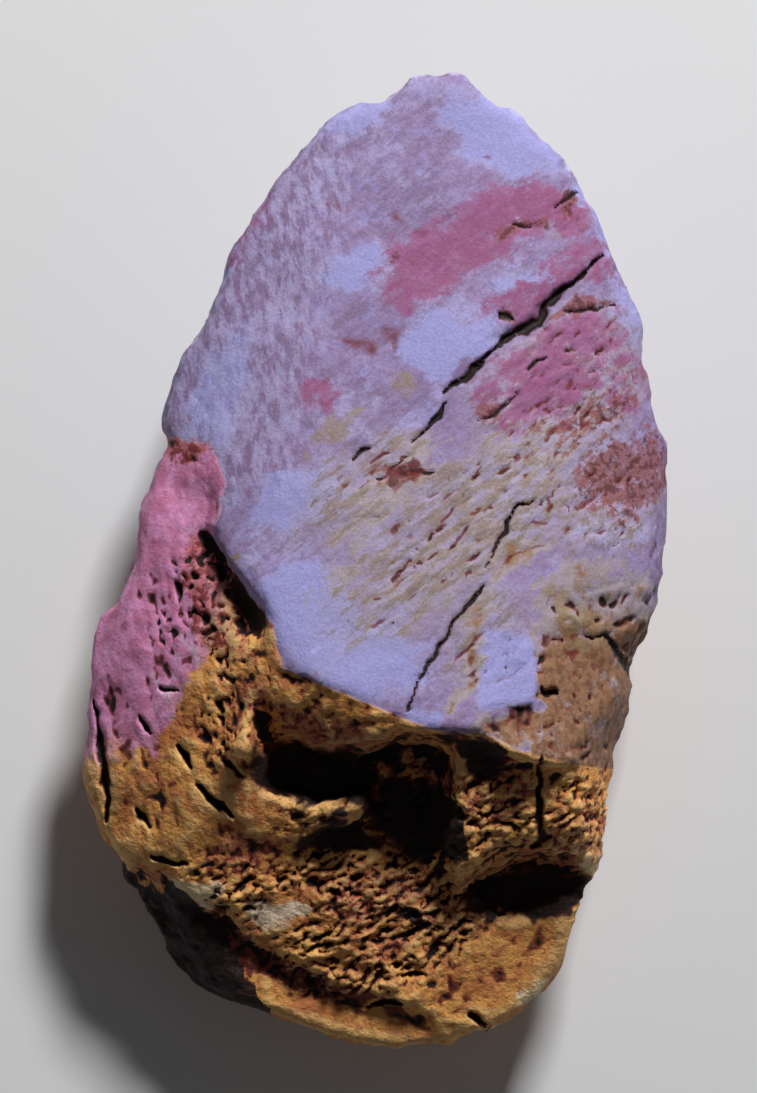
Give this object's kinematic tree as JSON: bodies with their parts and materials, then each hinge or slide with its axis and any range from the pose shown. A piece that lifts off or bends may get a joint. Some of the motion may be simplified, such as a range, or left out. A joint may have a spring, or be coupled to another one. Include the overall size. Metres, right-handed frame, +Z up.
{
  "type": "stone hand axe",
  "caption": "Large knapped stone hand axe with a smooth natural face, a stepped flank, a rough butt and flake scars all round its edge.",
  "frame": {"origin": "middle of the axe's outline in plan, on the surface that it lies on", "axes": "+Z up out of the worked front face, +Y from the butt towards the tip, +X to the right as the front face is seen with the tip up"},
  "size_m": [0.1017, 0.17, 0.0532],
  "materials": {
    "stone": "matte banded quartzite, lilac and pink on the smooth face, tan on the butt, dark in the hollows and cracks"
  },
  "bodies": {
    "root": {"hand_axe": "stone"}
  },
  "joints": []
}
